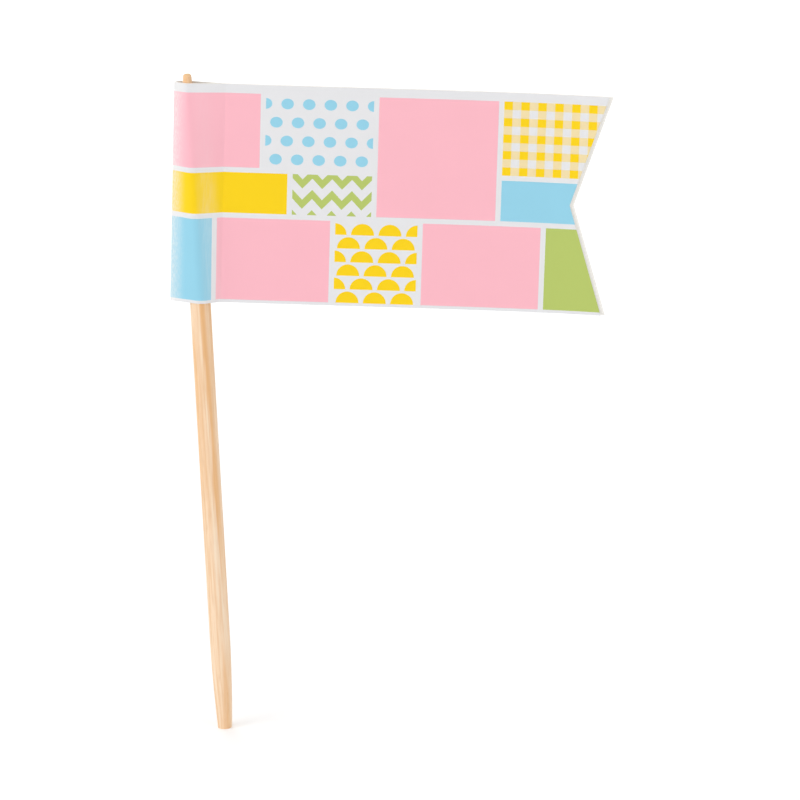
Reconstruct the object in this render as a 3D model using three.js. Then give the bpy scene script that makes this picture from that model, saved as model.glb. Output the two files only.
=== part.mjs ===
// Cocktail pick: a round wooden stick, pointed at both ends, with a paper flag glued round its top.
//
// Millimetres, +Z up along the stick. The origin is the centre of the lower point's end face.
// The flag flies towards +X, and its front leaf faces -Y.

import * as THREE from 'three';

// Stick, turned from one piece of birch.
const STICK_LENGTH = 70;
const STICK_DIAMETER = 2.0;
const POINT_LENGTH = 14;
const POINT_END_DIAMETER = 0.8;
const POINT_END_ROUNDING = 0.25;

// Flag, one die-cut strip of coated paper folded in two round the stick.
const PAPER_THICKNESS = 0.15;
const FLAG_LENGTH = 41.5;
const FLAG_HEIGHT = 21.5;
const NOTCH_DEPTH = 3.4;
const BACK_LEAF_OVERHANG = 0.4;

// Sleeve, the pocket between the fold and the seam where the two leaves meet.
const FOLD_INNER_RADIUS = 0.15;
const SEAM_INNER_RADIUS = 0.7;
const FOLD_TO_STICK_AT_TOP = 0.63;
const FOLD_TO_STICK_AT_BOTTOM = 1.7;
const STICK_TO_SEAM = 0.9;

// Adhesive, a thin coat on the whole inner face of the paper.
const ADHESIVE_THICKNESS = 0.02;
const ADHESIVE_EDGE_MARGIN = 0.3;
const ADHESIVE_CORNER_FILL = 0.35;

// How far the stick's upper point stands out above the flag.
const STICK_ABOVE_FLAG = 0.8;

// Clearances between pieces that are bonded or pressed together.
const STICK_CLEARANCE = 0.02;
const BOND_CLEARANCE = 0.01;

// Fineness of the curved surfaces.
const STICK_SIDES = 48;
const POINT_STEPS = 12;
const ROUNDING_STEPS = 4;
const FOLD_STEPS = 6;
const WRAP_STEPS = 8;
const SEAM_STEPS = 5;
const SLEEVE_BANDS = 14;

const STICK_RADIUS = STICK_DIAMETER / 2;
const POINT_END_RADIUS = POINT_END_DIAMETER / 2;

// Half the space between the leaves, which the two coats of adhesive fill.
const HALF_GAP = ADHESIVE_THICKNESS + BOND_CLEARANCE;

// Radius of the stick at a height on it. Each point narrows along a parabola that leaves the
// straight part without an edge.
function stickRadius(z) {
  const fromEnd = Math.min(z, STICK_LENGTH - z);
  const left = Math.max(0, 1 - fromEnd / POINT_LENGTH);
  return STICK_RADIUS - (STICK_RADIUS - POINT_END_RADIUS) * left ** 2;
}

// Profile of the lower point from the axis up to the straight part, as [radius, height] pairs.
function pointProfile() {
  const flat = POINT_END_RADIUS - POINT_END_ROUNDING;
  const rounding = stickRadius(POINT_END_ROUNDING) - flat;
  const profile = [[0, 0]];
  for (let i = 0; i <= ROUNDING_STEPS; i++) {
    const turn = (i / ROUNDING_STEPS) * (Math.PI / 2);
    profile.push([flat + rounding * Math.sin(turn), POINT_END_ROUNDING * (1 - Math.cos(turn))]);
  }
  for (let i = 1; i <= POINT_STEPS; i++) {
    const z = POINT_END_ROUNDING + (POINT_LENGTH - POINT_END_ROUNDING) * (i / POINT_STEPS);
    profile.push([stickRadius(z), z]);
  }
  return profile;
}

// The whole stick as one turned body. LatheGeometry turns about Y, so it is stood up along Z.
function stickGeometry() {
  const lower = pointProfile();
  const upper = lower.map(([radius, z]) => [radius, STICK_LENGTH - z]).reverse();
  const outline = [...lower, ...upper].map(([radius, z]) => new THREE.Vector2(radius, z));
  return new THREE.LatheGeometry(outline, STICK_SIDES).rotateX(Math.PI / 2);
}

// The flag's own frame: u runs from the fold to the tail, v through the paper towards the back
// leaf, and w up along the fold from the flag's lower edge. The stick crosses it askew, nearer
// the fold at the top. These are the places of its axis at the two edges.
const FOLD_INSIDE = PAPER_THICKNESS + HALF_GAP;
const STICK_FIT = STICK_CLEARANCE + HALF_GAP;
const AXIS_AT_TOP =
  FOLD_INSIDE + FOLD_TO_STICK_AT_TOP + stickRadius(STICK_LENGTH - STICK_ABOVE_FLAG);
const AXIS_AT_BOTTOM = FOLD_INSIDE + FOLD_TO_STICK_AT_BOTTOM + STICK_RADIUS;
const SKEW = Math.atan2(AXIS_AT_BOTTOM - AXIS_AT_TOP, FLAG_HEIGHT);
const FLAG_BOTTOM = STICK_LENGTH - STICK_ABOVE_FLAG - FLAG_HEIGHT / Math.cos(SKEW);
const SEAM = AXIS_AT_BOTTOM + STICK_RADIUS + STICK_FIT + PAPER_THICKNESS + STICK_TO_SEAM;

// The stick's section at a height on the flag: the place of its axis, and the radius that the
// inner face of the paper takes round it.
function stickInFlag(w) {
  const radius = stickRadius(FLAG_BOTTOM + w / Math.cos(SKEW)) / Math.cos(SKEW);
  return { u: AXIS_AT_BOTTOM - w * Math.tan(SKEW), radius: radius + STICK_FIT };
}

// A belt laid over rounds with their centres in (u, v). A round with a negative radius bends the
// belt the other way. The belt starts at one direction, given as the angle of its outward normal,
// ends at another, and lies straight between the rounds. Returns [u, v] points.
function belt(rounds, startAngle, endAngle) {
  const turns = [startAngle];
  for (let i = 1; i < rounds.length; i++) {
    const [a, b] = [rounds[i - 1], rounds[i]];
    const apart = Math.hypot(b.u - a.u, b.v - a.v);
    turns.push(Math.atan2(b.v - a.v, b.u - a.u) + Math.acos((a.radius - b.radius) / apart));
  }
  turns.push(endAngle);
  const points = [];
  rounds.forEach(({ u, v, radius, steps }, i) => {
    for (let k = 0; k <= steps; k++) {
      const angle = turns[i] + (turns[i + 1] - turns[i]) * (k / steps);
      points.push([u + radius * Math.cos(angle), v + radius * Math.sin(angle)]);
    }
  });
  return points;
}

// Half of the sleeve's section on the back leaf's side, from the fold to the seam. The inner face
// of the paper is at offset 0, its outer face one paper thickness out.
function sleeveHalf(w, offset) {
  const stick = stickInFlag(w);
  const rounds = [
    { u: PAPER_THICKNESS + FOLD_INNER_RADIUS, v: 0, radius: FOLD_INNER_RADIUS, steps: FOLD_STEPS },
    { u: stick.u, v: 0, radius: stick.radius, steps: WRAP_STEPS },
    { u: SEAM, v: HALF_GAP + SEAM_INNER_RADIUS, radius: -SEAM_INNER_RADIUS, steps: SEAM_STEPS },
  ];
  const moved = rounds.map((round) => ({ ...round, radius: round.radius + offset }));
  return belt(moved, Math.PI, Math.PI / 2);
}

// Half of the open pocket round the stick, inside the adhesive. The adhesive fills the narrow
// corner next to the seam.
function pocketHalf(w) {
  const stick = stickInFlag(w);
  const fold = FOLD_INNER_RADIUS - HALF_GAP;
  const rounds = [
    { u: PAPER_THICKNESS + FOLD_INNER_RADIUS, v: 0, radius: fold, steps: FOLD_STEPS },
    { u: stick.u, v: 0, radius: stick.radius - HALF_GAP, steps: WRAP_STEPS },
    { u: SEAM - ADHESIVE_CORNER_FILL, v: 0, radius: ADHESIVE_THICKNESS, steps: SEAM_STEPS },
  ];
  return belt(rounds, Math.PI, 0);
}

// The same points on the front leaf's side.
const mirrored = (points) => points.map(([u, v]) => [u, -v]);

// The tail of a leaf is cut as a swallowtail, deepest at half the flag's height.
function tail(w) {
  const fromMiddle = Math.abs(2 * (w / FLAG_HEIGHT) - 1);
  return FLAG_LENGTH - NOTCH_DEPTH * (1 - fromMiddle);
}

// Section of the folded paper, anticlockwise: in along the back leaf's outer face to the fold, out
// along the front leaf to its tail, and back the same way inside. The slit between the leaves is
// open at the tail, so this is one ring.
function paperSection(w) {
  const outer = sleeveHalf(w, PAPER_THICKNESS);
  const inner = sleeveHalf(w, 0);
  const outside = HALF_GAP + PAPER_THICKNESS;
  const front = tail(w);
  const back = front + BACK_LEAF_OVERHANG;
  return [
    [back, outside],
    ...outer.toReversed(),
    ...mirrored(outer).slice(1),
    [front, -outside],
    [front, -HALF_GAP],
    ...mirrored(inner).toReversed(),
    ...inner.slice(1),
    [back, HALF_GAP],
  ];
}

// Outline of the adhesive's section, anticlockwise along the paper's inner face.
function adhesiveSection(w) {
  const half = sleeveHalf(w, -BOND_CLEARANCE);
  const end = tail(w) - ADHESIVE_EDGE_MARGIN;
  return [
    [end, ADHESIVE_THICKNESS],
    ...half.toReversed(),
    ...mirrored(half).slice(1),
    [end, -ADHESIVE_THICKNESS],
  ];
}

// The pocket in it, clockwise as a hole is.
function pocketSection(w) {
  const half = pocketHalf(w);
  return [...mirrored(half).toReversed().slice(1), ...half.slice(1)];
}

// Solid through sections at rising heights. A section is a list of rings in (u, v), an outline and
// then its holes, and each ring has as many points at every height.
function loft(levels, sectionAt) {
  const sections = levels.map((w) => sectionAt(w));
  const rows = sections.map((rings) => rings.flat());
  const positions = rows.flatMap((row, level) => row.flatMap(([u, v]) => [u, v, levels[level]]));
  const triangles = [];

  // A patch between two heights is split along the diagonal that climbs away from the fold, so
  // that the faces of paper and adhesive stay side by side where the sleeve twists.
  const addPatch = (level, a, b) => {
    const row = rows[level];
    const [lowA, lowB] = [a, b].map((corner) => level * row.length + corner);
    const [highA, highB] = [lowA + row.length, lowB + row.length];
    if (row[b][0] >= row[a][0]) {
      triangles.push(lowA, lowB, highB, lowA, highB, highA);
    } else {
      triangles.push(lowA, lowB, highA, lowB, highB, highA);
    }
  };
  for (let level = 0; level < levels.length - 1; level++) {
    let first = 0;
    for (const { length } of sections[level]) {
      for (let i = 0; i < length; i++) {
        addPatch(level, first + i, first + ((i + 1) % length));
      }
      first += length;
    }
  }

  const capAt = (level) => {
    const rings = sections[level].map((ring) => ring.map(([u, v]) => new THREE.Vector2(u, v)));
    return THREE.ShapeUtils.triangulateShape(rings[0], rings.slice(1))
      .map((corners) => corners.map((corner) => corner + level * rows[level].length));
  };
  triangles.push(...capAt(0).flatMap((corners) => corners.toReversed()));
  triangles.push(...capAt(levels.length - 1).flat());

  const geometry = new THREE.BufferGeometry();
  geometry.setAttribute('position', new THREE.Float32BufferAttribute(positions, 3));
  geometry.setIndex(triangles);
  geometry.computeVertexNormals();
  return geometry;
}

// Heights of a loft's sections from one edge to another. The paper and its adhesive share those in
// between, so that their faces run alongside each other, and one is at half the flag's height,
// where the notch is.
function heights(from, to) {
  const shared = Array.from({ length: SLEEVE_BANDS }, (_, i) => FLAG_HEIGHT * (i / SLEEVE_BANDS));
  return [from, ...shared.filter((w) => w > from && w < to), to];
}

function flagGeometry() {
  return loft(heights(0, FLAG_HEIGHT), (w) => [paperSection(w)]);
}

function adhesiveGeometry() {
  const levels = heights(ADHESIVE_EDGE_MARGIN, FLAG_HEIGHT - ADHESIVE_EDGE_MARGIN);
  return loft(levels, (w) => [adhesiveSection(w), pocketSection(w)]);
}

function piece(name, geometry, color, roughness) {
  const mesh = new THREE.Mesh(
    geometry,
    new THREE.MeshStandardMaterial({ color, roughness, metalness: 0 }),
  );
  mesh.name = name;
  return mesh;
}

// The flag and its adhesive turn together about the stick by the skew of the fold.
function flagGroup() {
  const group = new THREE.Group();
  group.position.set(
    -AXIS_AT_BOTTOM * Math.cos(SKEW),
    0,
    FLAG_BOTTOM + AXIS_AT_BOTTOM * Math.sin(SKEW),
  );
  group.rotation.y = SKEW;
  group.add(piece('flag', flagGeometry(), 0xf7d5db, 0.45));
  group.add(piece('adhesive', adhesiveGeometry(), 0xf3efe2, 0.3));
  return group;
}

const pick = new THREE.Group();
pick.add(piece('stick', stickGeometry(), 0xf0d0a8, 0.65));
pick.add(flagGroup());

export default pick;
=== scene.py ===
"""Looks of the cocktail pick: a pointed wooden stick with a printed paper flag glued round its top.

Blender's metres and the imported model's frame hold throughout: +Z up along the stick, the origin at
the centre of the lower point's end face, the flag flying towards +X, its front leaf facing -Y.
The pick's sizes are in millimetres, as they are in the part's source. The studio's are in metres.
"""

import logging
import math
import random
from collections.abc import Callable, Iterator, Sequence
from dataclasses import dataclass, field
from enum import Enum

import bpy
from mathutils import Matrix, Vector, noise


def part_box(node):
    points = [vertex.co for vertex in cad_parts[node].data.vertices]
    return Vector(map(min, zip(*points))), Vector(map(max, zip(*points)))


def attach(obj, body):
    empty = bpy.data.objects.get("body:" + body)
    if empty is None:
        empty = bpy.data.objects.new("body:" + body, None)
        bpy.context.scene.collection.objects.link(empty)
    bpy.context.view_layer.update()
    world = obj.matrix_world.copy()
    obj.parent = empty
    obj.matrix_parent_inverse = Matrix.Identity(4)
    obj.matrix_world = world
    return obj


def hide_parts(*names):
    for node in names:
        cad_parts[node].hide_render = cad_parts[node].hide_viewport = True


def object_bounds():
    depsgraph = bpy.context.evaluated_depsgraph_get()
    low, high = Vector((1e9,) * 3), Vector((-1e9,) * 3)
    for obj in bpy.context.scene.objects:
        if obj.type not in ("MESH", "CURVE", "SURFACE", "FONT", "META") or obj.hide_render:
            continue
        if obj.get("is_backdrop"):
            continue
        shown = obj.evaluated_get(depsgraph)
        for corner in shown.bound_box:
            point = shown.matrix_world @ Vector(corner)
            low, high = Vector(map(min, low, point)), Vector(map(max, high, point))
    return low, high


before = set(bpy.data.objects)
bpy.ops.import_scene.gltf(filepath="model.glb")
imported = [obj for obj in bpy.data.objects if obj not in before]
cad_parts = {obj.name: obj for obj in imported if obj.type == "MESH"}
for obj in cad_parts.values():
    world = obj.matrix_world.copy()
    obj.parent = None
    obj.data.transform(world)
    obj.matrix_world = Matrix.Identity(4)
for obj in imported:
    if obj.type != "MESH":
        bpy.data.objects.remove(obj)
CAD_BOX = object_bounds()

MM = 0.001
ROOT = "root"
PRINT_MAP = "print"
BAKE_MAP = "OFBake"

Point = tuple[float, float]
# The two ends of a span, of which the first may be the larger one.
Span = tuple[float, float]

log = logging.getLogger("cocktail_pick")


# Colours and node wiring.


@dataclass(frozen=True)
class Tint:
    """A colour as a screen shows it, 0 to 255 a channel."""

    red: int
    green: int
    blue: int

    @property
    def light(self) -> tuple[float, float, float, float]:
        """The colour as linear light, which is what shader sockets take."""
        shown = [channel / 255.0 for channel in (self.red, self.green, self.blue)]
        return (*(c / 12.92 if c <= 0.04045 else ((c + 0.055) / 1.055) ** 2.4 for c in shown), 1.0)


WHITE = Tint(255, 255, 255)


@dataclass(frozen=True)
class Pattern:
    """A soft random pattern, by its features a millimetre along each axis.

    It is mostly near 0.5. Where a climb is given, it climbs smoothly from 0 to 1 over that span.
    """

    x: float
    y: float
    z: float = 1.0
    detail: float = 3.0
    climb: Span | None = None


class Wiring:
    """Adds nodes to one node tree and joins them."""

    def __init__(self, tree: bpy.types.NodeTree) -> None:
        """Keep the tree that the nodes go into."""
        self.tree = tree

    def feed(self, node: bpy.types.Node, values: dict[int | str, "Value"]) -> None:
        """Join or set some of a node's sockets.

        Args:
            node: The node.
            values: For each socket, by name or number, a signal that it is joined to or a constant.
        """
        for name, value in values.items():
            if isinstance(value, Signal):
                self.tree.links.new(value.socket, node.inputs[name])
            else:
                node.inputs[name].default_value = value.light if isinstance(value, Tint) else value

    def signal(
        self, kind: str, values: dict[int | str, "Value"], output: int | str = 0, **options: object
    ) -> "Signal":
        """Add a shader node and take one of its outputs.

        Args:
            kind: The node's type name without the prefix that all shader nodes share.
            values: What its sockets take.
            output: The output's name or number.
            options: Values for the node's own options.

        Returns:
            The output.
        """
        node = self.tree.nodes.new("ShaderNode" + kind)
        for name, option in options.items():
            setattr(node, name, option)
        self.feed(node, values)
        return Signal(self, node.outputs[output])

    def mix(self, share: "Value", first: "Value", second: "Value", way: str = "MIX") -> "Signal":
        """Mix two colours by how much of the second there is, 0 to 1."""
        values = {0: share, 6: first, 7: second}
        return self.signal("Mix", values, 2, data_type="RGBA", blend_type=way)

    def stretched(self, place: "Signal", along: Sequence[float]) -> "Signal":
        """Scale a vector by a factor for each axis."""
        return self.signal("VectorMath", {0: place, 1: tuple(along)}, operation="MULTIPLY")

    def apart(self, place: "Signal") -> list["Signal"]:
        """Give a vector's three numbers."""
        return [self.signal("SeparateXYZ", {0: place}, axis) for axis in "XYZ"]

    def noise(self, place: "Signal", pattern: Pattern) -> "Signal":
        """Read a random pattern.

        Args:
            place: The place that is read, in millimetres.
            pattern: The pattern.

        Returns:
            A number from 0 to 1.
        """
        spot = self.stretched(place, (pattern.x, pattern.y, pattern.z))
        found = self.signal("TexNoise", {"Vector": spot, "Scale": 1.0, "Detail": pattern.detail})
        return found.climb(*pattern.climb) if pattern.climb else found

    def millimetres(self) -> "Signal":
        """Give the place on the piece in millimetres."""
        return self.stretched(self.signal("TexCoord", {}, "Object"), (1.0 / MM,) * 3)

    def seen(self) -> "Signal":
        """Tell rays from the camera, and those in gloss and glass, from the light on the pieces.

        Returns:
            1 for what is seen, 0 for what lights.
        """
        names = ("Is Camera Ray", "Is Glossy Ray", "Is Transmission Ray")
        camera, gloss, glass = (self.signal("LightPath", {}, name) for name in names)
        return camera.most(gloss).most(glass)

    def bump(self, height: "Signal", depth: float, strength: float) -> "Signal":
        """Turn a height into a normal, where a height of 1 stands for a depth in millimetres."""
        return self.signal("Bump", {"Height": height, "Distance": depth * MM, "Strength": strength})

    def dress(self, values: dict[int | str, "Value"]) -> None:
        """Join or set sockets of the material's own shader."""
        self.feed(self.tree.nodes["Principled BSDF"], values)


@dataclass(frozen=True, eq=False)
class Signal:
    """A number or vector that a node gives. Sums are made with it as with a plain number."""

    wiring: Wiring
    socket: bpy.types.NodeSocket

    def math(self, operation: str, *others: "Value") -> "Signal":
        """Work out one sum by a Math node, with what it takes besides this number in order."""
        return self.wiring.signal("Math", dict(enumerate((self, *others))), operation=operation)

    def __add__(self, other: "Value") -> "Signal":
        """Add a number."""
        return self.math("ADD", other)

    __radd__ = __add__

    def __mul__(self, other: "Value") -> "Signal":
        """Multiply by a number."""
        return self.math("MULTIPLY", other)

    def __sub__(self, other: "Value") -> "Signal":
        """Take a number away."""
        return self.math("SUBTRACT", other)

    def __rsub__(self, other: float) -> "Signal":
        """Take this number away from a plain one."""
        return self.span(other, other - 1.0)

    def __abs__(self) -> "Signal":
        """Drop the sign."""
        return self.math("ABSOLUTE")

    def most(self, other: "Value") -> "Signal":
        """Give the larger of two numbers."""
        return self.math("MAXIMUM", other)

    def less(self, limit: float) -> "Signal":
        """Give 1 below a limit and 0 from it on."""
        return self.math("LESS_THAN", limit)

    def fraction(self) -> "Signal":
        """Drop what stands before the decimal point."""
        return self.math("FRACT")

    def span(self, low: float, high: float) -> "Signal":
        """Turn a number from 0 to 1 into one from low to high."""
        return self.math("MULTIPLY_ADD", high - low, low)

    def climb(self, low: float, high: float) -> "Signal":
        """Climb smoothly from 0 to 1 as the number goes from low to high."""
        values = {"Value": self, "From Min": low, "From Max": high}
        return self.wiring.signal("MapRange", values, "Result", interpolation_type="SMOOTHSTEP")


# What a socket can be given.
Value = float | tuple | Tint | Signal


@dataclass(frozen=True)
class Finish:
    """What every finish has: a name, and the wiring of its colour, gloss and relief.

    A relief is given by its depth in millimetres and by how strongly it shows.
    """

    name: str

    def wire(self, wiring: Wiring) -> None:
        """Dress the material's shader, by the wiring of its node tree."""
        raise NotImplementedError

    def material(self) -> bpy.types.Material:
        """Make the finish's material.

        Returns:
            The material, ready to be worn.
        """
        made = bpy.data.materials.new(self.name)
        made.use_nodes = True
        self.wire(Wiring(made.node_tree))
        return made


# Meshes.


def steps_between(start: float, end: float, count: int) -> list[float]:
    """Give even steps from a start, which is left out, to an end."""
    return [start + (end - start) * step / count for step in range(1, count + 1)]


def ease(value: float, low: float, high: float) -> float:
    """Climb smoothly from 0 to 1 as a value goes from low to high."""
    share = min(1.0, max(0.0, (value - low) / (high - low)))
    return share * share * (3.0 - 2.0 * share)


@dataclass
class Draft:
    """A mesh while it is drawn up: its points, its faces, and the finish and maps of each face."""

    points: list[Vector] = field(default_factory=list)
    faces: list[tuple[int, ...]] = field(default_factory=list)
    finishes: list[int] = field(default_factory=list)
    maps: dict[str, list[Point]] = field(default_factory=dict)

    def add_face(self, corners: Sequence[int], finish: int = 0, **maps: Sequence[Point]) -> None:
        """Add one face.

        Args:
            corners: The numbers of its points, anticlockwise from outside.
            finish: The number of the finish that it wears.
            maps: For each map, the place of every corner on it.
        """
        self.faces.append(tuple(corners))
        self.finishes.append(finish)
        for name, places in maps.items():
            self.maps.setdefault(name, []).extend(places)

    def piece(
        self, name: str, finishes: Sequence[Finish], crease: float = 40.0
    ) -> bpy.types.Object:
        """Make the piece and put it into the scene.

        Args:
            name: The piece's name.
            finishes: What its faces wear, by number.
            crease: Edges sharper than this many degrees stay sharp when lit.

        Returns:
            The new object.
        """
        mesh = bpy.data.meshes.new(name)
        mesh.from_pydata([point * MM for point in self.points], [], self.faces)
        for finish in finishes:
            mesh.materials.append(finish.material())
        mesh.polygons.foreach_set("material_index", self.finishes)
        for map_name, places in self.maps.items():
            layer = mesh.uv_layers.new(name=map_name, do_init=False)
            layer.uv.foreach_set("vector", [number for place in places for number in place])
        mesh.shade_smooth()
        mesh.set_sharp_from_angle(angle=math.radians(crease))
        mesh.validate()
        made = bpy.data.objects.new(name, mesh)
        bpy.context.scene.collection.objects.link(made)
        return made


# The wooden stick.


@dataclass(frozen=True)
class StickForm:
    """Sizes of the turned stick, which is pointed alike at both ends."""

    length: float
    diameter: float
    point_length: float = 14.0
    point_end_diameter: float = 0.8
    point_end_rounding: float = 0.25

    @classmethod
    def of_frame(cls) -> "StickForm":
        """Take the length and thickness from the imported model."""
        low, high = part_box("stick")
        return cls(length=(high.z - low.z) / MM, diameter=(high.y - low.y) / MM)

    def radius(self, z: float) -> float:
        """Give the radius at a height, which narrows along a parabola in each point."""
        left = max(0.0, 1.0 - min(z, self.length - z) / self.point_length)
        return (self.diameter - (self.diameter - self.point_end_diameter) * left**2) / 2


@dataclass(frozen=True)
class BirchWood(Finish):
    """Pale birch, turned and tumbled: fine fibres along the stick, a few darker streaks, dull."""

    name: str = "birch_wood"
    pale: Tint = Tint(253, 232, 207)
    common: Tint = Tint(248, 217, 184)
    shaded: Tint = Tint(238, 196, 153)
    fibre: Tint = Tint(231, 179, 127)
    streak: Tint = Tint(237, 182, 122)
    end_grain: Tint = Tint(231, 194, 148)
    broad: Pattern = Pattern(0.9, 0.9, 0.035, 2.0)
    grain: Pattern = Pattern(5.0, 5.0, 0.16, 4.0)
    fibres: Pattern = Pattern(17.0, 17.0, 0.55, 3.0, (0.56, 0.74))
    heartwood: Pattern = Pattern(0.75, 0.75, 0.05, 1.0)
    pores: Pattern = Pattern(9.0, 9.0, 0.5, 2.0, (0.5, 0.68))
    grain_share: float = 0.55
    tone_climb: Span = (0.3, 0.7)
    common_tone: float = 0.55
    fibre_share: float = 0.42
    pore_share: float = 0.6
    end_climb: Span = (0.55, 0.85)
    roughness: Span = (0.5, 0.72)
    end_roughness: float = 0.9
    specular: float = 0.1
    grain_height: float = 0.7
    fibre_depth: float = 0.6
    relief: tuple[float, float] = (0.03, 0.7)
    streak_climb: Span = (0.68, 0.8)
    streak_share: float = 0.6
    fraying: float = 0.3
    ring_foot: float = 1.05
    ring_lean: float = -0.017
    ring_waver: float = 0.6
    ring_sides: Span = (0.06, 0.38)
    ring_middle: float = 38.0
    ring_fades: Span = (9.0, 19.0)
    ring_shares: Span = (0.75, 0.12)

    def wire(self, wiring: Wiring) -> None:
        """Wire the grain, and the faces cut across it at the ends.

        Args:
            wiring: Adds the nodes.
        """
        place = wiring.millimetres()
        grain = wiring.noise(place, self.grain)
        fibres = wiring.noise(place, self.fibres)
        broad = wiring.noise(place, self.broad) * (1 - self.grain_share)
        tone = (grain * self.grain_share + broad).climb(*self.tone_climb)
        # A mix keeps its share from 0 to 1, so these two meet at the common tone.
        middle = self.common_tone
        wood = wiring.mix(tone * (1 / middle), self.shaded, self.common)
        wood = wiring.mix((tone - middle) * (1 / (1 - middle)), wood, self.pale)
        wood = wiring.mix(fibres * self.fibre_share, wood, self.fibre)
        wood = wiring.mix(self.streaks(wiring, grain), wood, self.streak)
        _, _, facing_up = wiring.apart(wiring.signal("NewGeometry", {}, "True Normal"))
        ends = abs(facing_up).climb(*self.end_climb)
        pores = wiring.noise(place, self.pores) * self.pore_share
        relief = grain * self.grain_height - fibres * self.fibre_depth
        wiring.dress({
            "Base Color": wiring.mix(ends, wood, wiring.mix(pores, self.end_grain, self.fibre)),
            "Roughness": grain.span(*self.roughness).most(ends * self.end_roughness),
            "Specular IOR Level": self.specular,
            "Normal": wiring.bump(relief, *self.relief),
        })

    def streaks(self, wiring: Wiring, grain: Signal) -> Signal:
        """Mark the darker streaks of heartwood, and one growth ring that runs through the stick.

        Args:
            wiring: Adds the nodes.
            grain: The grain, which frays the streaks' sides.

        Returns:
            How much of the streaks' colour shows.
        """
        place = wiring.millimetres()
        frayed = wiring.noise(place, self.heartwood) + grain * self.fraying
        streaks = frayed.climb(*self.streak_climb) * self.streak_share
        x, _, z = wiring.apart(place)
        middle = (grain - 0.5) * self.ring_waver + z * self.ring_lean + self.ring_foot
        across = 1.0 - abs(x - middle).climb(*self.ring_sides)
        beyond = abs(z - self.ring_middle).climb(*self.ring_fades)
        return streaks.most(across * beyond.span(*self.ring_shares))


@dataclass(frozen=True)
class MillMark:
    """A shallow mark along the stick, as turning and tumbling leave."""

    turn: float
    height: float
    width: float
    reach: float
    cut: float
    fade: float = 2.5

    def depth(self, angle: float, z: float) -> float:
        """Give how deep the mark is at one place.

        Args:
            angle: The angle round the stick.
            z: The height.

        Returns:
            The depth in millimetres.
        """
        off = math.remainder(angle - self.turn, 2 * math.pi) / self.width
        up = (z - self.height) / self.reach
        if abs(off) >= self.fade or abs(up) >= 1.0:
            return 0.0
        return self.cut * math.exp(-off * off) * (1 - up * up) ** 2


@dataclass
class StickChart:
    """Where the stick's points lie on its bake map.

    The stick lies there in strips side by side, and beside them is a disc for each blunt end.
    """

    rings: Sequence[Point]
    sides: int
    end_rings: int
    strips: int = 3
    strip_width: float = 0.28
    strip_pitch: float = 0.3
    strip_height: float = 0.92
    corner: Point = (0.01, 0.02)
    margin: float = 1.0
    disc_radius: float = 0.0378
    disc_middles: tuple[Point, Point] = ((0.95, 0.3), (0.95, 0.7))

    def baked(self, low: int, ring: int, side: int) -> Point:
        """Give the place of one corner of a face between two rings.

        Args:
            low: The number of the ring below the face.
            ring: The number of the corner's own ring.
            side: The number of the corner round the stick.

        Returns:
            The place, 0 to 1 each way.
        """
        last = len(self.rings) - 1
        if min(low, last - 1 - low) <= self.end_rings:
            upper = low > len(self.rings) // 2
            return self.on_disc(upper, (last - ring if upper else ring) + 1, side)
        reach = self.rings[last][1] / self.strips
        middle = (self.rings[low][1] + self.rings[low + 1][1]) / 2
        strip = min(self.strips - 1, int(middle / reach))
        across = self.strip_pitch * strip + self.strip_width * side / self.sides
        up = (self.rings[ring][1] - strip * reach + self.margin) / (reach + 2 * self.margin)
        left, bottom = self.corner
        return (left + across, bottom + up * self.strip_height)

    def on_disc(self, upper: bool, walked: int, side: int) -> Point:
        """Give a point's place on the disc of a blunt end.

        Args:
            upper: Whether it is the upper end.
            walked: How many rings out from the middle the point is, at most end_rings + 2.
            side: The number of the point round the stick.

        Returns:
            The place, 0 to 1 each way.
        """
        across, up = self.disc_middles[upper]
        turn = 2 * math.pi * side / self.sides
        reach = self.disc_radius * walked / (self.end_rings + 2)
        return (across + reach * math.cos(turn), up + reach * math.sin(turn))


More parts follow.
